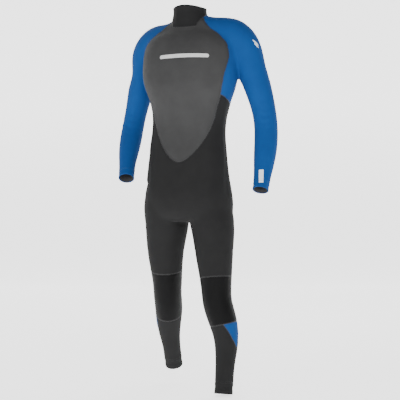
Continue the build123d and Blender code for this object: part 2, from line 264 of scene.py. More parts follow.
def reached(free):
    """Free voxels that the outside reaches."""
    out = np.zeros_like(free)
    for axis in range(3):
        edge, room = np.moveaxis(out, axis, 0), np.moveaxis(free, axis, 0)
        edge[0], edge[-1] = edge[0] | room[0], edge[-1] | room[-1]
    before = -1
    while out.sum() != before:
        before = out.sum()
        for axis in range(3):
            rows, room = np.moveaxis(out, axis, 0), np.moveaxis(free, axis, 0)
            for i in range(1, len(rows)):
                rows[i] |= rows[i - 1] & room[i]
            for i in range(len(rows) - 2, -1, -1):
                rows[i] |= rows[i + 1] & room[i]
    return out


def signed(gap):
    """Distances made negative inside the suit; gaps under a centimetre between panels don't leak."""
    free = gap > LEAK * VOXEL
    sign = np.where(reached(free), 1, -1).astype(np.int8) * free
    for level in np.arange(1.1, -0.15, -0.12) * VOXEL:
        for _ in range(2):
            total = np.zeros(gap.shape, np.int8)
            for axis in range(3):
                rows, near = np.moveaxis(total, axis, 0), np.moveaxis(sign, axis, 0)
                rows[1:] += near[:-1]
                rows[:-1] += near[1:]
            ready = (sign == 0) & (gap > level) & (total != 0)
            sign[ready] = np.sign(total[ready])
    return gap * np.where(sign < 0, -1, 1)


def body_surface():
    """The outside of the whole suit as one closed, softly rounded surface."""
    points, tris = joined([*skins.values(), *zip_skin, *plugs, (strip, strip_tris)])
    transform = openvdb.createLinearTransform(voxelSize=VOXEL)
    grid = openvdb.FloatGrid.createLevelSetFromPolygons(
        points.astype(np.float32), triangles=tris.astype(np.uint32), transform=transform, halfWidth=6
    )
    low, high = grid.evalActiveVoxelBoundingBox()
    low = np.array(low) - 3
    shape = np.array(high) + 4 - low
    field = np.zeros(shape, np.float32)
    grid.copyToArray(field, ijk=tuple(int(v) for v in low))
    field = signed(np.abs(field))
    z = (low[2] + np.arange(shape[2])) * VOXEL
    near, wide = blurred(field, SHARP), blurred(field, SOFT)
    share = np.maximum(band(ARMPIT_BAND, z), CROTCH_SHARE * band(CROTCH_BAND, z))
    field = near + (wide - near) * share[None, None, :].astype(np.float32)
    soft = openvdb.FloatGrid(6 * VOXEL)
    soft.copyFromArray(field.astype(np.float32), ijk=tuple(int(v) for v in low))
    soft.transform = transform
    soft.gridClass = openvdb.GridClass.LEVEL_SET
    points, quads = soft.convertToQuads(0.0)
    points = np.asarray(points, float)
    tris = np.vstack([quads[:, [0, 1, 2]], quads[:, [0, 2, 3]]]).astype(np.int64)
    a, b, c = (points[tris[:, i]] for i in range(3))
    facing = facing_out((a + b + c) / 3, unit(np.cross(b - a, c - a))).sum()
    return points, tris if facing > 0 else tris[:, ::-1]


def vertex_normals(points, tris):
    a, b, c = (points[tris[:, i]] for i in range(3))
    face = np.cross(b - a, c - a)
    total = np.zeros_like(points)
    for i in range(3):
        np.add.at(total, tris[:, i], face)
    return unit(total)


def folds(points, normals):
    """Soft folds of worn neoprene: inside the elbows, behind the knees, at the groin and ankles."""
    depth = np.zeros(len(points))
    for side, sign in SIDES.items():
        elbow, knee = (np.array(joints[f"{n}_{side}"]["pos_m"]) for n in ("elbow", "knee"))
        ankle = np.array(mounts[f"ankle_opening_{side}"]["pos_m"])
        places = (              # middle, reach, side that folds, height of the folds, their pitch
            (elbow, 0.075, (0.0, -1.0, 0.25), 0.0011, 0.026),
            (knee, 0.09, (0.0, 1.0, 0.1), 0.0012, 0.03),
            (np.array(joints[f"hip_{side}"]["pos_m"]), 0.08, (0.0, -1.0, 0.0), 0.0009, 0.036),
            (ankle + (0, 0, 0.06), 0.06, (0.0, 1.0, 0.0), 0.0007, 0.022),
        )
        for centre, reach, facing, size, pitch in places:
            gap = points - centre
            close = np.exp(-((gap / reach) ** 2).sum(1) * 1.6)
            side_on = np.clip(normals @ unit(np.array(facing)), 0, 1)
            wander = 0.35 * np.sin(gap[:, 0] * 60 + sign) + 0.2 * np.sin(gap[:, 0] * 130)
            wave = np.sin(gap[:, 2] / pitch * 2 * math.pi + wander * 3)
            depth += size * close * side_on * wave
    return points + normals * depth[:, None]


# ---------------------------------------------------------------- cutting along the seams
class Cloth:
    """Triangles with, at each point, the distance to every CAD panel."""

    def __init__(self, points, tris):
        self.points, self.tris = points, tris
        self.gaps = np.full((len(points), len(PANELS) + 1), REACH)

    def measure(self):
        for k, name in enumerate([*PANELS, "zip"]):
            points, tris = joined(zip_skin) if name == "zip" else skins[name]
            tree = BVHTree.FromPolygons(points.tolist(), tris.tolist())
            used = points[np.unique(tris)]
            low, high = used.min(0) - REACH, used.max(0) + REACH
            close = np.where(((self.points > low) & (self.points < high)).all(1))[0]
            for i in close:
                found = tree.find_nearest(self.points[i], REACH)
                if found[3] is not None:
                    self.gaps[i, k] = found[3]

    def cut(self, value):
        """Splits the triangles that value's zero line crosses."""
        value = np.where(np.abs(value) < 1.2e-4, 0.0, value)
        tris = self.tris
        signs = np.sign(value[tris]).astype(int)
        crossing = (signs.min(1) < 0) & (signs.max(1) > 0)
        whole, tris, signs = tris[~crossing], tris[crossing], signs[crossing]
        if not len(tris):
            return
        lone = np.zeros(len(tris), int)
        with_zero = (signs == 0).any(1)
        lone[with_zero] = np.argmax(signs[with_zero] == 0, axis=1)
        plain = ~with_zero
        total = signs[plain].sum(1)
        lone[plain] = np.argmax(signs[plain] == -total[:, None], axis=1)
        order = (lone[:, None] + np.arange(3)) % 3
        tris = np.take_along_axis(tris, order, axis=1)
        edges = [tris[plain][:, [0, 1]], tris[plain][:, [2, 0]], tris[with_zero][:, [1, 2]]]
        ends = np.sort(np.vstack(edges), axis=1)
        unique, where = np.unique(ends, axis=0, return_inverse=True)
        where = where.ravel()
        a, b = unique[:, 0], unique[:, 1]
        t = (value[a] / (value[a] - value[b]))[:, None]
        first = len(self.points)
        self.points = np.vstack([self.points, self.points[a] * (1 - t) + self.points[b] * t])
        self.gaps = np.vstack([self.gaps, self.gaps[a] * (1 - t) + self.gaps[b] * t])
        count = plain.sum()
        ab, ca, bc = where[:count] + first, where[count:2 * count] + first, where[2 * count:] + first
        p, q = tris[plain], tris[with_zero]
        self.tris = np.vstack([
            whole,
            np.column_stack([p[:, 0], ab, ca]), np.column_stack([ab, p[:, 1], p[:, 2]]),
            np.column_stack([ab, p[:, 2], ca]),
            np.column_stack([q[:, 0], q[:, 1], bc]), np.column_stack([q[:, 0], bc, q[:, 2]]),
        ])

    def centres(self):
        return self.points[self.tris].mean(1)


points, tris = body_surface()
points = folds(points, vertex_normals(points, tris))
cloth = Cloth(points, tris)
cloth.measure()
for edge, axis in openings:
    gap = (cloth.points - edge) @ axis
    far = np.linalg.norm(cloth.points - edge, axis=1) > 0.09
    cloth.cut(np.where(far, -1.0, gap))
    centres = cloth.centres()
    beyond = ((centres - edge) @ axis > 0) & (np.linalg.norm(centres - edge, axis=1) < 0.09)
    cloth.tris = cloth.tris[~beyond]


def rim_height(points):
    """The collar's free edge: a little lower at the sides than in front."""
    return -0.009 * np.minimum(np.abs(points[:, 0]) / rim_half, 1) ** 2 - 0.001


cloth.cut(cloth.points[:, 2] - rim_height(cloth.points))
centres = cloth.centres()
cloth.tris = cloth.tris[centres[:, 2] < rim_height(centres)]
split_foot = split_line[-1][1]
for edge in (-SPLIT_HALF, SPLIT_HALF):
    at_split = (cloth.points[:, 1] > 0.02) & (cloth.points[:, 2] > split_foot)
    cloth.cut(np.where(at_split, cloth.points[:, 0] - edge, 1.0))
centres = cloth.centres()
in_split = (np.abs(centres[:, 0]) < SPLIT_HALF) & (centres[:, 1] > 0.02) & (centres[:, 2] > split_foot)
cloth.tris = cloth.tris[~in_split]
for k in range(len(PANELS) + 1):
    others = np.delete(cloth.gaps, k, axis=1).min(1)
    cloth.cut(cloth.gaps[:, k] - others)
labels = cloth.gaps[cloth.tris].mean(1).argmin(1)
used = np.unique(cloth.tris)
renumber = np.full(len(cloth.points), -1)
renumber[used] = np.arange(len(used))
points, tris = cloth.points[used], renumber[cloth.tris]
normals = vertex_normals(points, tris)
print("body surface", len(points), "points", len(tris), "triangles")

# ---------------------------------------------------------------- which borders are real seams
touching = np.zeros((len(points), len(PANELS) + 1), bool)
for i in range(3):
    touching[tris[:, i], labels] = True
HIDDEN = [{"front_body_panel", "back_body_panel", "hip_stretch_left", "hip_stretch_right",
           "thigh_panel_left", "thigh_panel_right", "knee_back_left", "knee_back_right",
           "shin_panel_left", "shin_panel_right"}]
for side in SIDES:
    HIDDEN.append({f"shoulder_panel_{side}", f"armhole_stretch_{side}", f"upper_sleeve_{side}",
                   f"elbow_stretch_{side}", f"forearm_sleeve_{side}"})
cloth_of = np.arange(len(PANELS) + 1)
for group in HIDDEN:
    members = [PANELS.index(n) for n in group]
    cloth_of[members] = members[0]
cloths_touching = np.zeros_like(touching)
for k, whole in enumerate(cloth_of):
    cloths_touching[:, whole] |= touching[:, k]
on_seam = cloths_touching.sum(1) > 1
edges = np.sort(np.vstack([tris[:, [0, 1]], tris[:, [1, 2]], tris[:, [2, 0]]]), axis=1)
edge_label = np.tile(labels, 3)
order = np.lexsort((edges[:, 1], edges[:, 0]))
edges, edge_label = edges[order], edge_label[order]
same = (edges[1:] == edges[:-1]).all(1)
pair_at = np.where(same)[0]
seam_edges = {}
for i in pair_at:
    a, b = sorted((edge_label[i], edge_label[i + 1]))
    if a != b and cloth_of[a] != cloth_of[b]:
        seam_edges.setdefault((a, b), []).append(tuple(edges[i]))
alone = np.ones(len(edges), bool)
alone[pair_at] = False
alone[pair_at + 1] = False
free_edges = {}
for i in np.where(alone)[0]:
    free_edges.setdefault(edge_label[i], []).append(tuple(edges[i]))

# Seams lie in a shallow groove: the border sinks, and the rows of points beside it a little less.
seam_tree = KDTree(int(on_seam.sum()))
for row, i in enumerate(np.where(on_seam)[0]):
    seam_tree.insert(points[i], row)
seam_tree.balance()
near_seam = np.array([seam_tree.find(p)[2] for p in points])
sink = 0.0009 * np.exp(-((near_seam / 0.0028) ** 2))
puff = 0.0004 * np.exp(-(((near_seam - 0.008) / 0.0045) ** 2))
points = points + normals * (puff - sink)[:, None]
normals = unit(0.5 * normals + 0.5 * vertex_normals(points, tris))


# ---------------------------------------------------------------- materials
def new_material(name, colour, rough, coat=0.0, sheen=0.0, specular=0.5, metallic=0.0):
    material = bpy.data.materials.new(name)
    material.use_nodes = True
    shader = material.node_tree.nodes["Principled BSDF"]
    shader.inputs["Base Color"].default_value = (*colour, 1)
    shader.inputs["Roughness"].default_value = rough
    shader.inputs["Metallic"].default_value = metallic
    shader.inputs["Specular IOR Level"].default_value = specular
    shader.inputs["Sheen Weight"].default_value = sheen
    shader.inputs["Sheen Roughness"].default_value = 0.45
    shader.inputs["Coat Weight"].default_value = coat
    shader.inputs["Coat Roughness"].default_value = 0.35
    return material, material.node_tree, shader


class Nodes:
    """Short way to add and join shader nodes."""

    def __init__(self, tree):
        self.tree = tree
        self.place = self.add("ShaderNodeTexCoord").outputs["Object"]

    def add(self, kind, inputs=(), **settings):
        node = self.tree.nodes.new(kind)
        for key, value in settings.items():
            setattr(node, key, value)
        for key, value in dict(inputs).items():
            if isinstance(value, bpy.types.NodeSocket):
                self.tree.links.new(value, node.inputs[key])
            else:
                node.inputs[key].default_value = value
        return node

    def noise(self, scale, detail=3.0, stretch=(1, 1, 1)):
        mapped = self.add("ShaderNodeMapping", {"Vector": self.place, "Scale": stretch}).outputs[0]
        inputs = {"Vector": mapped, "Scale": scale, "Detail": detail}
        return self.add("ShaderNodeTexNoise", inputs).outputs["Fac"]

    def remap(self, value, low, high):
        inputs = {"Value": value, "From Min": 0.25, "From Max": 0.75, "To Min": low, "To Max": high}
        return self.add("ShaderNodeMapRange", inputs).outputs[0]

    def shades(self, value, colour, spread):
        """The colour, from a little darker to a little lighter."""
        ramp = self.add("ShaderNodeValToRGB", {"Fac": value})
        ramp.color_ramp.elements[0].position = 0.3
        ramp.color_ramp.elements[1].position = 0.7
        ramp.color_ramp.elements[0].color = (*[c * (1 - spread) for c in colour], 1)
        ramp.color_ramp.elements[1].color = (*[min(1, c * (1 + spread)) for c in colour], 1)
        return ramp.outputs[0]

    def bumps(self, layers):
        """Bump nodes one on another: (height socket, strength, distance)."""
        normal = None
        for height, strength, distance in layers:
            inputs = {"Height": height, "Strength": strength, "Distance": distance}
            if normal is not None:
                inputs["Normal"] = normal
            normal = self.add("ShaderNodeBump", inputs).outputs[0]
        return normal

    def knit(self, pitch):
        """Rows of small knitted loops."""
        inputs = {"Vector": self.place, "Scale": 1 / pitch / 6.28, "Distortion": 0.6, "Detail": 1.0,
                  "Detail Scale": 2.0}
        rows, loops = (
            self.add("ShaderNodeTexWave", inputs, wave_type="BANDS", bands_direction=way,
                     wave_profile="SIN").outputs["Fac"]
            for way in ("Z", "DIAGONAL")
        )
        return self.add("ShaderNodeMath", {0: rows, 1: loops}, operation="MULTIPLY").outputs[0]


def jersey(name, colour, spread=0.1, rough=0.78, sheen=0.015):
    """Knitted lining bonded to foam."""
    material, tree, shader = new_material(name, colour, rough, sheen=sheen, specular=0.1)
    shader.inputs["Sheen Tint"].default_value = (*[0.35 + 0.6 * c for c in colour], 1)
    n = Nodes(tree)
    cloudy = n.noise(22.0, 4.0)
    grain = n.noise(420.0, 2.0)
    mix = n.add("ShaderNodeMath", {0: cloudy, 1: grain}, operation="ADD").outputs[0]
    half = n.add("ShaderNodeMath", {0: mix, 1: 0.5}, operation="MULTIPLY").outputs[0]
    tree.links.new(n.shades(half, colour, spread), shader.inputs["Base Color"])
    tree.links.new(n.remap(grain, rough - 0.08, rough + 0.1), shader.inputs["Roughness"])
    soft = n.noise(9.0, 2.0)
    normal = n.bumps([(soft, 0.25, 0.006), (n.knit(0.0011), 0.35, 0.00025), (grain, 0.2, 0.0003)])
    tree.links.new(normal, shader.inputs["Normal"])
    return material


def smooth_skin(name, colour):
    """Bare closed-cell rubber with a fine embossed mesh."""
    material, tree, shader = new_material(name, colour, 0.6, specular=0.1)
    n = Nodes(tree)
    cloudy = n.noise(14.0, 4.0)
    tree.links.new(n.shades(cloudy, colour, 0.1), shader.inputs["Base Color"])
    emboss = n.add(
        "ShaderNodeTexVoronoi", {"Vector": n.place, "Scale": 620.0, "Randomness": 0.15},
        feature="DISTANCE_TO_EDGE", distance="EUCLIDEAN",
    ).outputs["Distance"]
    tree.links.new(n.remap(n.noise(60.0, 3.0), 0.54, 0.68), shader.inputs["Roughness"])
    normal = n.bumps([(n.noise(7.0, 2.0), 0.25, 0.006), (emboss, 0.3, 0.0004)])
    tree.links.new(normal, shader.inputs["Normal"])
    return material


def knee_rubber(name, colour):
    """Tough coating printed over the knees in small cells, rubbed on the bend."""
    material, tree, shader = new_material(name, colour, 0.65, specular=0.1)
    n = Nodes(tree)
    cells = n.add(
        "ShaderNodeTexVoronoi", {"Vector": n.place, "Scale": 230.0, "Randomness": 0.25},
        feature="DISTANCE_TO_EDGE",
    ).outputs["Distance"]
    rubbed = n.noise(35.0, 5.0)
    tree.links.new(n.shades(rubbed, colour, 0.25), shader.inputs["Base Color"])
    tree.links.new(n.remap(rubbed, 0.46, 0.64), shader.inputs["Roughness"])
    tree.links.new(n.bumps([(n.noise(10.0, 2.0), 0.2, 0.005), (cells, 0.6, 0.0012)]), shader.inputs["Normal"])
    return material


def woven(name, colour):
    """Twill tape."""
    material, tree, shader = new_material(name, colour, 0.8, sheen=0.1, specular=0.3)
    n = Nodes(tree)
    twill = n.add(
        "ShaderNodeTexWave", {"Vector": n.place, "Scale": 210.0, "Distortion": 0.4}, wave_type="BANDS",
        bands_direction="DIAGONAL",
    ).outputs["Fac"]
    tree.links.new(n.shades(twill, colour, 0.3), shader.inputs["Base Color"])
    tree.links.new(n.bumps([(twill, 0.6, 0.0004)]), shader.inputs["Normal"])
    return material


def plain(name, colour, rough, spread=0.12, metallic=0.0, coat=0.0, scale=90.0):
    """Moulded, coated or printed surface with a little grain and wear."""
    material, tree, shader = new_material(name, colour, rough, metallic=metallic, coat=coat)
    n = Nodes(tree)
    grain = n.noise(scale, 4.0)
    tree.links.new(n.shades(grain, colour, spread), shader.inputs["Base Color"])
    tree.links.new(n.remap(grain, rough - 0.06, rough + 0.08), shader.inputs["Roughness"])
    tree.links.new(n.bumps([(grain, 0.15, 0.0005)]), shader.inputs["Normal"])
    return material


BLACK, BLUE = (0.0135, 0.0135, 0.0138), (0.0045, 0.050, 0.190)
looks = {
    "neoprene_black": jersey("neoprene_black", BLACK),
    "neoprene_blue": jersey("neoprene_blue", BLUE, spread=0.07),
    "smooth_skin": smooth_skin("smooth_skin", (0.036, 0.036, 0.0365)),
    "knee_rubber": knee_rubber("knee_rubber", (0.0025, 0.0025, 0.0027)),
    "collar_neoprene": jersey("collar_neoprene", (0.0115, 0.0115, 0.012), rough=0.7),
    "lining": jersey("lining", (0.05, 0.05, 0.053), spread=0.2, rough=0.9),
    "seam_tape": plain("seam_tape", (0.009, 0.009, 0.0095), 0.5),
    "thread_black": plain("thread_black", (0.012, 0.012, 0.013), 0.6),
    "thread_blue": plain("thread_blue", (0.004, 0.05, 0.16), 0.6),
    "print_grey": plain("print_grey", (0.50, 0.50, 0.50), 0.55, spread=0.06),
    "print_white": plain("print_white", (0.72, 0.78, 0.84), 0.55, spread=0.05),
    "zip_tape": woven("zip_tape", (0.018, 0.018, 0.02)),
    "zip_coil": plain("zip_coil", (0.014, 0.014, 0.015), 0.34, coat=0.1),
    "zip_metal": plain("zip_metal", (0.05, 0.05, 0.052), 0.36, metallic=0.7, scale=240.0),
    "hook_and_loop": plain("hook_and_loop", (0.02, 0.02, 0.021), 0.95, spread=0.5, scale=900.0),
}
slots = {s["node"]: s["material_slot"] for s in frame["record"]["subparts"]}


# ---------------------------------------------------------------- making pieces
def new_piece(name, points, faces, materials, face_material=None, loop_normals=None):
    mesh = bpy.data.meshes.new(name)
    mesh.from_pydata(np.asarray(points).tolist(), [], [list(map(int, f)) for f in faces])
    for m in materials:
        mesh.materials.append(looks[m])
    if face_material is not None:
        mesh.polygons.foreach_set("material_index", np.asarray(face_material, np.int32))
    mesh.polygons.foreach_set("use_smooth", np.ones(len(mesh.polygons), bool))
    if loop_normals is not None:
        mesh.normals_split_custom_set(loop_normals.tolist())
    mesh.update()
    piece = bpy.data.objects.new(name, mesh)
    bpy.context.scene.collection.objects.link(piece)
    return piece


def borders(group):
    """Directed border edges of some triangles."""
    directed = np.vstack([group[:, [0, 1]], group[:, [1, 2]], group[:, [2, 0]]])
    key = np.sort(directed, axis=1)
    _, where, counts = np.unique(key, axis=0, return_inverse=True, return_counts=True)
    return directed[counts[where.ravel()] == 1]


def panel(k):
    """One neoprene panel: outside, lining 3 mm below and the edges between them."""
    group = tris[labels == k]
    used = np.unique(group)
    number = {v: i for i, v in enumerate(used)}
    local = np.vectorize(number.get)(group)
    outer, lift = points[used], normals[used]
    inner = outer - lift * WALL
    count = len(used)
    rim_pairs = borders(local)
    first, second = rim_pairs[:, 0], rim_pairs[:, 1]
    walls = np.column_stack([second, first, first + count, second + count])
    faces = [*local, *(local[:, ::-1] + count), *walls]
    everything = np.vstack([outer, inner])
    a, b, c = (everything[walls[:, i]] for i in range(3))
    wall_normal = unit(np.cross(b - a, c - a))
    loops = np.vstack([
        lift[local.ravel()], -lift[local[:, ::-1].ravel()], np.repeat(wall_normal, 4, axis=0)
    ])
    material = np.concatenate([np.zeros(len(local)), np.ones(len(local)), np.ones(len(walls))])
    name = PANELS[k]
    return new_piece(f"{name}_neoprene", everything, faces, [slots[name], "lining"], material, loops)


pieces = {}
for k, name in enumerate(PANELS):
    if (labels == k).any():
        pieces[name] = panel(k)
        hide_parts(name)
    else:
        print("no surface for", name)


# ---------------------------------------------------------------- how each piece is tied to its body
def shared(name, others):
    """Points of a panel that also belong to any of the others."""
    own = touching[:, PANELS.index(name)]
    theirs = np.zeros(len(points), bool)
    for other in others:
        theirs |= touching[:, PANELS.index(other)]
    return points[own & theirs]


def ring_span(name):
    """Where a stretch zone starts and ends along its limb, a hair inside both of its borders."""
    joint = joints[BENDS[name][0]]
    side = name.rsplit("_", 1)[1]
    limb = {
        "elbow": ("elbow_stretch", "upper_sleeve", "forearm_sleeve"),
        "hip": ("hip_stretch", "front_body_panel", "thigh_panel"),
        "knee": ("knee_pad", "thigh_panel", "shin_panel"),
    }[joint["name"].rsplit("_", 1)[0]]
    above = limb[1] if limb[1] == "front_body_panel" else f"{limb[1]}_{side}"
    zones = [f"{limb[0]}_{side}"] + ([f"knee_back_{side}"] if limb[0] == "knee_pad" else [])
    higher = [above] + (["back_body_panel"] if limb[0] == "hip_stretch" else [])
    lower = [f"{limb[2]}_{side}"] + ([f"calf_inset_{side}"] if limb[0] == "knee_pad" else [])
    top, foot = (np.vstack([shared(zone, others) for zone in zones]) for others in (higher, lower))
    start, end = top.mean(0), foot.mean(0)
    run = unit(end - start)
    first, last = ((top - start) @ run).max(), ((foot - start) @ run).min()
    return start + run * (first + 2e-4), start + run * (last - 2e-4)


def armhole_weights(side):
    """Search trees of the armhole stretch zone's points shared with the trunk's panels and with the upper sleeve.
    """
    name = f"armhole_stretch_{side}"
    fixed = shared(name, [f"shoulder_panel_{side}", "front_body_panel", "back_body_panel", "chest_panel"])
    moving = shared(name, [f"upper_sleeve_{side}"])
    trees = []
    for rows in (fixed, moving):
        tree = KDTree(len(rows))
        for i, row in enumerate(rows):
            tree.insert(row, i)
        tree.balance()
        trees.append(tree)
    return trees


def follow(piece, name, lined=False):
    """Ties a piece that doesn't bend to its panel's body; a piece of a bending zone only has its transform baked.
    A lined one has its lining's points last.
    """
    if name not in BENDS:
        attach(piece, owner[name])
        return
    if BENDS[name][1] == "ring":
        start, end = ring_span(name)
        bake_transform(piece)
        return
    side = name.rsplit("_", 1)[1]
    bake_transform(piece)
    # The hinge is at the armpit, so the turn would grow from the trunk's seam round to the sleeve's seam.
    # Planes can't say that, so only the distances to the two seams are measured here; no weights are set from
    # them.
    fixed, moving = armhole_weights(side)
    count = len(piece.data.vertices)
    near = np.array([(fixed.find(v.co)[2], moving.find(v.co)[2]) for v in piece.data.vertices])
    if lined:
        near[count // 2:] = np.maximum(near[count // 2:] - WALL * 1.01, 0)


for name, piece in pieces.items():
    follow(piece, name, lined=True)


# ---------------------------------------------------------------- seams: tape and stitches
def chains(edge_list):
    """Joins loose edges into runs of points; True where a run is a closed loop."""
    nexts = {}
    for a, b in edge_list:
        nexts.setdefault(a, []).append(b)
        nexts.setdefault(b, []).append(a)
    left = {tuple(sorted(e)) for e in edge_list}
    runs = []
    starts = sorted(v for v in nexts if len(nexts[v]) != 2) + sorted(nexts)
    for start in starts:
        for step in list(nexts[start]):
            if tuple(sorted((start, step))) not in left:
                continue
            run = [start, step]
            left.discard(tuple(sorted((start, step))))
            while len(nexts[run[-1]]) == 2:
                a, b = nexts[run[-1]]
                after = a if b == run[-2] else b
                key = tuple(sorted((run[-1], after)))
                if key not in left:
                    break
                left.discard(key)
                run.append(after)
            runs.append((run, run[0] == run[-1]))
    return runs


surface_tree = BVHTree.FromPolygons(points.tolist(), tris.tolist())


def even_line(run, closed, spacing=0.003, passes=3):
    """A run of surface points, evenly spaced and softened, with the surface's normals."""
    line = points[run]
    for _ in range(passes):
        softer = line.copy()
        softer[1:-1] = (line[:-2] + 2 * line[1:-1] + line[2:]) / 4
        if closed:
            softer[0] = softer[-1] = (line[-2] + 2 * line[0] + line[1]) / 4
        line = softer
    step = np.linalg.norm(np.diff(line, axis=0), axis=1)
    along = np.concatenate([[0], np.cumsum(step)])
    if along[-1] < 2 * spacing:
        return None
    count = max(4, int(round(along[-1] / spacing)))
    at = np.linspace(0, along[-1], count + 1)
    return np.column_stack([np.interp(at, along, line[:, i]) for i in range(3)])


def on_surface(rows):
    spots, ways = [], []
    for row in rows:
        spot, way, _, _ = surface_tree.find_nearest(Vector(row))
        spots.append(spot)
        ways.append(way)
    return np.array(spots), unit(np.array(ways))


def tangents(line, closed):
    way = np.zeros_like(line)
    way[1:-1] = line[2:] - line[:-2]
    way[0] = line[1] - line[-2] if closed else line[1] - line[0]
    way[-1] = way[0] if closed else line[-1] - line[-2]
    return unit(way)


def ribbon(line, closed, half, lift, sunk=0.0006):
    """A flat strip along a line on the surface, with its two edges sunk in."""
    spots, ways = on_surface(line)
    along = tangents(spots, closed)
    across = unit(np.cross(along, ways))
    profile = ((-1.0, -sunk), (-0.8, lift * 0.75), (0.0, lift), (0.8, lift * 0.75), (1.0, -sunk))
    rows = np.stack([spots + across * half * x + ways * y for x, y in profile], axis=1)
    wide = len(profile)
    faces = []
    for i in range(len(spots) - 1):
        for j in range(wide - 1):
            a = i * wide + j
            faces.append((a, a + wide, a + wide + 1, a + 1))
    return rows.reshape(-1, 3), faces


def stitch_row(line, closed, offset, pitch=0.0042, length=0.0029, half=0.00045, high=0.0004):
    """Short raised threads beside a seam."""
    spots, ways = on_surface(line)
    along = tangents(spots, closed)
    beside = spots + unit(np.cross(along, ways)) * offset
    step = np.linalg.norm(np.diff(beside, axis=0), axis=1)
    track = np.concatenate([[0], np.cumsum(step)])
    count = int(track[-1] / pitch)
    if count < 2:
        return np.zeros((0, 3)), []
    at = (np.arange(count) + 0.5) * pitch
    middles = np.column_stack([np.interp(at, track, beside[:, k]) for k in range(3)])
    spots, ways = on_surface(middles)
    along = tangents(spots, False)
    across = unit(np.cross(along, ways))
    rows, faces = [], []
    for i in range(count):
        base = 8 * i
        for end, wide, tall in ((-0.5, 0.5, -0.0003), (-0.32, 1, high), (0.32, 1, high), (0.5, 0.5, -0.0003)):
            for turn in (-1, 1):
                corner = along[i] * end * length + across[i] * turn * half * wide + ways[i] * tall
                rows.append(spots[i] + corner)
        faces += [(base + 1, base, base + 2, base + 3), (base + 3, base + 2, base + 4, base + 5),
                  (base + 5, base + 4, base + 6, base + 7), (base, base + 6, base + 4, base + 2),
                  (base + 1, base + 3, base + 5, base + 7)]
    return np.array(rows), faces


def tube(line, closed, radius, around=10):
    """A round cord along a line."""
    along = tangents(line, closed)
    side_on = unit(np.cross(along, np.roll(along, 1, axis=0) + (0.01, 0.02, 1.0)))
    up = np.cross(along, side_on)
    turn = np.linspace(0, 2 * math.pi, around, endpoint=False)
    rows = (line[:, None, :] + radius * (np.cos(turn)[None, :, None] * side_on[:, None, :]
                                         + np.sin(turn)[None, :, None] * up[:, None, :]))
    faces = []
    for i in range(len(line) - 1):
        for j in range(around):
            k = (j + 1) % around
            faces.append((i * around + j, i * around + k, (i + 1) * around + k, (i + 1) * around + j))
    return rows.reshape(-1, 3), faces


def motion_of(a, b):
    """The panel that two panels' shared seam goes with: the one that doesn't bend, or the first when both bend."""
    if a in BENDS and b in BENDS:
        return a
    return b if a in BENDS else a


def is_kind(name, *kinds):
    return any(name.startswith(kind) for kind in kinds)


sewn = {}
for (a, b), edge_list in seam_edges.items():
    first, second = ([*PANELS, "zip"][i] for i in (a, b))
    names = {first, second}
    if "zip" in names:
        panel_name = (names - {"zip"}).pop()
        plans = [("stitch", "thread_black", 0.003), ("stitch", "thread_black", -0.003)]
        rides = panel_name
    else:
        rides = motion_of(first, second)
        blue = all(slots[n] == "neoprene_blue" for n in names)
        thread = "thread_blue" if blue else "thread_black"
        plans = [("stitch", thread, 0.0032), ("stitch", thread, -0.0032)]
        if any(is_kind(n, "chest_panel", "back_panel") for n in names):
            plans.append(("tape", "seam_tape", 0.0022))
        elif any(is_kind(n, "calf_inset", "collar", "shoulder_panel") for n in names) and not blue:
            plans.append(("tape", "seam_tape", 0.0014))
        elif any(is_kind(n, "knee_pad") for n in names):
            plans.append(("tape", "seam_tape", 0.0016))
        if any(is_kind(n, "wrist_cuff", "ankle_cuff") for n in names):
            plans = [("stitch", thread, 0.0018), ("stitch", thread, -0.0018), ("stitch", thread, 0.0062)]
    for run, closed in chains(edge_list):
        line = even_line(run, closed)
        if line is None:
            continue
        for kind, look, size in plans:
            key = (rides, kind, look)
            made = stitch_row(line, closed, size) if kind == "stitch" else ribbon(line, closed, size, 0.00035)
            sewn.setdefault(key, []).append(made)
for k, edge_list in free_edges.items():
    name = [*PANELS, "zip"][k]
    if name == "zip":
        continue
    for run, closed in chains(edge_list):
        line = even_line(run, closed)
        if line is None or len(run) < 6:
            continue
        spots, ways = on_surface(line)
        made = tube(spots - ways * (WALL / 2), closed, WALL / 2 + 0.0001)
        sewn.setdefault((name, "edge", slots[name]), []).append(made)
for (rides, kind, look), parts in sewn.items():
    parts = [p for p in parts if len(p[0])]
    if not parts:
        continue
    rows, faces, count = [], [], 0
    for p, f in parts:
        rows.append(p)
        faces += [tuple(v + count for v in face) for face in f]
        count += len(p)
    piece = new_piece(f"{rides}_{kind}_{look}", np.vstack(rows), faces, [look])
    follow(piece, rides)


# ---------------------------------------------------------------- printed marks, all plain shapes
def print_patch(name, panel_name, centre, width, height, look, slant=0.0, bow=0.0):
    """A thin printed shape on a panel; slant tilts it and bow rounds its ends."""
    spot, way, _, _ = surface_tree.find_nearest(Vector(centre))
    way = way.normalized()
    up = Vector((0, 0, 1)) - way * way.z
    up.normalize()
    across = up.cross(way)
    c, s = math.cos(slant), math.sin(slant)
    up, across = up * c + across * s, across * c - up * s
    wide, tall = max(6, int(width / 0.003)), max(4, int(height / 0.003))
    rows = []
    for j in range(tall + 1):
        v = j / tall - 0.5
        pull = 1 - bow * (2 * v) ** 2
        for i in range(wide + 1):
            u = (i / wide - 0.5) * pull
            rows.append(spot + across * (u * width) + up * (v * height))
    rows = np.array([list(r) for r in rows])
    spots, ways = on_surface(rows)
    spots = spots + ways * 0.0004
    faces = [
        (j * (wide + 1) + i, j * (wide + 1) + i + 1, (j + 1) * (wide + 1) + i + 1, (j + 1) * (wide + 1) + i)
        for j in range(tall) for i in range(wide)
    ]
    piece = new_piece(name, spots, faces, [look])
    follow(piece, panel_name)
    return piece


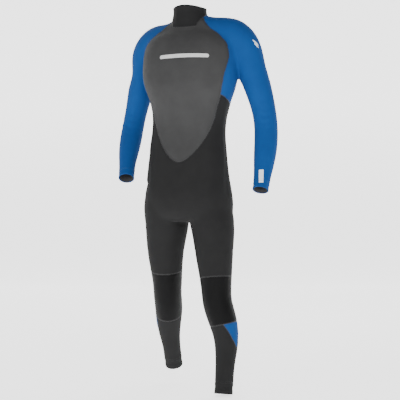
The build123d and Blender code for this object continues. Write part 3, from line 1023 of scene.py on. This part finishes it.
chest_low, chest_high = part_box("chest_panel")
bar_z = chest_high.z - 0.148
print_patch("chest_print_bar", "chest_panel", (0.025, chest_low.y, bar_z), 0.2, 0.014, "print_grey", bow=0.05)
sleeve_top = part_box("armhole_stretch_left")
mark = Vector((sleeve_top[1].x - 0.012, 0.01, -0.138))
for part, lift, width, height in (("upper", 0.006, 0.034, 0.008), ("lower", -0.008, 0.026, 0.006)):
    place = mark + Vector((0, 0, lift))
    print_patch(
        f"shoulder_print_{part}", "armhole_stretch_left", place, width, height, "print_white",
        slant=0.7, bow=0.6,
    )
wrist = np.array(mounts["wrist_opening_left"]["pos_m"])
label = wrist + (0.014, -0.04, 0.05)
print_patch("wrist_print_label", "forearm_sleeve_left", label, 0.017, 0.05, "print_white")


# ---------------------------------------------------------------- zip, collar tab and backing flap
def tidy_copy(node, voxel=None, bevel=0.0):
    """The CAD node's mesh with rounded edges."""
    source = frame["nodes"][node]
    mesh = source.data.copy()
    piece = bpy.data.objects.new(f"{node}_rounded", mesh)
    bpy.context.scene.collection.objects.link(piece)
    weld = piece.modifiers.new("weld", "WELD")
    weld.merge_threshold = 1e-5
    if voxel:
        remesh = piece.modifiers.new("remesh", "REMESH")
        remesh.mode, remesh.voxel_size = "VOXEL", voxel
        soften = piece.modifiers.new("soften", "SMOOTH")
        soften.factor, soften.iterations = 0.5, 4
    if bevel:
        edge = piece.modifiers.new("bevel", "BEVEL")
        edge.width, edge.segments, edge.limit_method, edge.angle_limit = bevel, 3, "ANGLE", math.radians(40)
    graph = bpy.context.evaluated_depsgraph_get()
    baked = bpy.data.meshes.new_from_object(piece.evaluated_get(graph))
    piece.modifiers.clear()
    piece.data = baked
    baked.materials.clear()
    baked.materials.append(looks[slots[node]])
    baked.polygons.foreach_set("use_smooth", np.ones(len(baked.polygons), bool))
    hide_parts(node)
    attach(piece, owner[node])
    return piece


for node in ("zip_slider", "zip_pull_tab"):
    tidy_copy(node, voxel=0.0003)
for node in ("zip_top_stops", "zip_bottom_stop"):
    tidy_copy(node, voxel=0.00025)
for node in ("collar_tab", "collar_loop_patch", "collar_tab_hooks"):
    tidy_copy(node, voxel=0.0009 if node == "collar_tab" else 0.0005)
for node in ("zip_tape_left", "zip_tape_right", "zip_backing_flap"):
    tidy_copy(node, bevel=0.0003)


def zip_teeth(side, sign):
    """A row of nylon coil loops, inside the CAD coil so that the slider runs free over them."""
    node = f"zip_coil_{side}"
    coil = arrays(frame["nodes"][node])[0]
    run = unit(np.array(joints["zip_slide"]["axis"], float))
    out = np.cross((1.0, 0.0, 0.0), run)
    first, last = (coil @ run).min(), (coil @ run).max()
    low, high = (coil @ out).min(), (coil @ out).max()
    inner, wide = np.abs(coil[:, 0]).min(), np.abs(coil[:, 0]).max()
    pitch = 0.0022
    count = int((last - first) / pitch)
    turn = np.linspace(0, 2 * math.pi, 9)[:-1]
    rows, faces = [], []
    for i in range(count):
        down = first + (i + (0.25 if sign > 0 else 0.75)) * pitch
        for x in (inner, inner + 0.0003, inner + 0.0009, wide * 0.8, wide):
            squeeze = 0.62 if x in (inner, wide) else 0.97
            centre = np.array((sign * x, 0, 0)) + run * down + out * (low + high) / 2
            for t in turn:
                down_part = run * math.cos(t) * 0.00048 * squeeze
                rows.append(centre + down_part + out * math.sin(t) * (high - low) * 0.5 * squeeze)
        base = i * 40
        for j in range(4):
            for t in range(8):
                a, b = base + j * 8 + t, base + j * 8 + (t + 1) % 8
                faces.append((a, b, b + 8, a + 8) if sign > 0 else (b, a, a + 8, b + 8))
        near_end, far_end = [base + t for t in range(8)], [base + 32 + t for t in range(8)]
        faces += [near_end[::-1], far_end] if sign > 0 else [near_end, far_end[::-1]]
    piece = new_piece(f"zip_coil_loops_{side}", rows, faces, ["zip_coil"])
    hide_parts(node)
    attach(piece, owner[node])


for side, sign in SIDES.items():
    zip_teeth(side, sign)


# ---------------------------------------------------------------- floor, light and camera
AZIMUTH, DISTANCE, ACROSS = 24.0, 4.5, 1.48       # the camera's; ACROSS is the width it sees there
AIM_RIGHT, AIM_HEIGHT = 0.037, -0.714


def stage_floor():
    """Pale floor that curves up into a pale wall behind."""
    low = cad_low.z - 0.002
    profile = [(-12.0, 0.0), (5.4, 0.0)]
    profile += [(5.4 + 1.6 * math.sin(a), 1.6 - 1.6 * math.cos(a)) for a in np.linspace(0.1, math.pi / 2, 14)]
    profile += [(7.0, 9.0)]
    yaw = math.radians(AZIMUTH)
    rows, faces = [], []
    for y, z in profile:
        for x in (-12.0, 12.0):
            turned = x * math.cos(yaw) - y * math.sin(yaw), x * math.sin(yaw) + y * math.cos(yaw)
            rows.append((*turned, z + low))
    for i in range(len(profile) - 1):
        faces.append((2 * i, 2 * i + 1, 2 * i + 3, 2 * i + 2))
    mesh = bpy.data.meshes.new("floor")
    mesh.from_pydata(rows, [], faces)
    mesh.polygons.foreach_set("use_smooth", np.ones(len(faces), bool))
    material, _, shader = new_material("floor_pale", (0.93, 0.93, 0.93), 0.9, specular=0.1)
    shader.inputs["Emission Color"].default_value = (1, 1, 1, 1)
    shader.inputs["Emission Strength"].default_value = 1.7
    mesh.materials.append(material)
    floor = bpy.data.objects.new("floor", mesh)
    bpy.context.scene.collection.objects.link(floor)


def area_light(name, place, target, size, power):
    data = bpy.data.lights.new(name, "AREA")
    data.shape, data.size, data.energy = "DISK", size, power
    light = bpy.data.objects.new(name, data)
    light.location = place
    light.rotation_euler = (Vector(target) - Vector(place)).to_track_quat("-Z", "Y").to_euler()
    bpy.context.scene.collection.objects.link(light)


stage_floor()
world = bpy.data.worlds.new("studio")
world.use_nodes = True
world.node_tree.nodes["Background"].inputs["Color"].default_value = (1, 1, 1, 1)
world.node_tree.nodes["Background"].inputs["Strength"].default_value = 0.5
bpy.context.scene.world = world
centre = (0, 0, -0.7)
area_light("key", (2.2, -3.6, 0.6), centre, 2.6, 95)
area_light("fill", (-1.4, -3.6, 0.0), centre, 3.0, 45)
area_light("back", (-0.5, 3.0, 1.4), centre, 2.5, 30)

yaw = math.radians(AZIMUTH)
right = Vector((math.cos(yaw), math.sin(yaw), 0))
towards = Vector((math.sin(yaw), -math.cos(yaw), 0))
camera_data = bpy.data.cameras.new("camera")
camera_data.sensor_width = 36
camera_data.lens = 36 * DISTANCE / ACROSS
camera = bpy.data.objects.new("camera", camera_data)
camera.location = right * AIM_RIGHT + towards * DISTANCE + Vector((0, 0, AIM_HEIGHT))
camera.rotation_euler = (-towards).to_track_quat("-Z", "Y").to_euler()
bpy.context.scene.collection.objects.link(camera)
bpy.context.scene.camera = camera
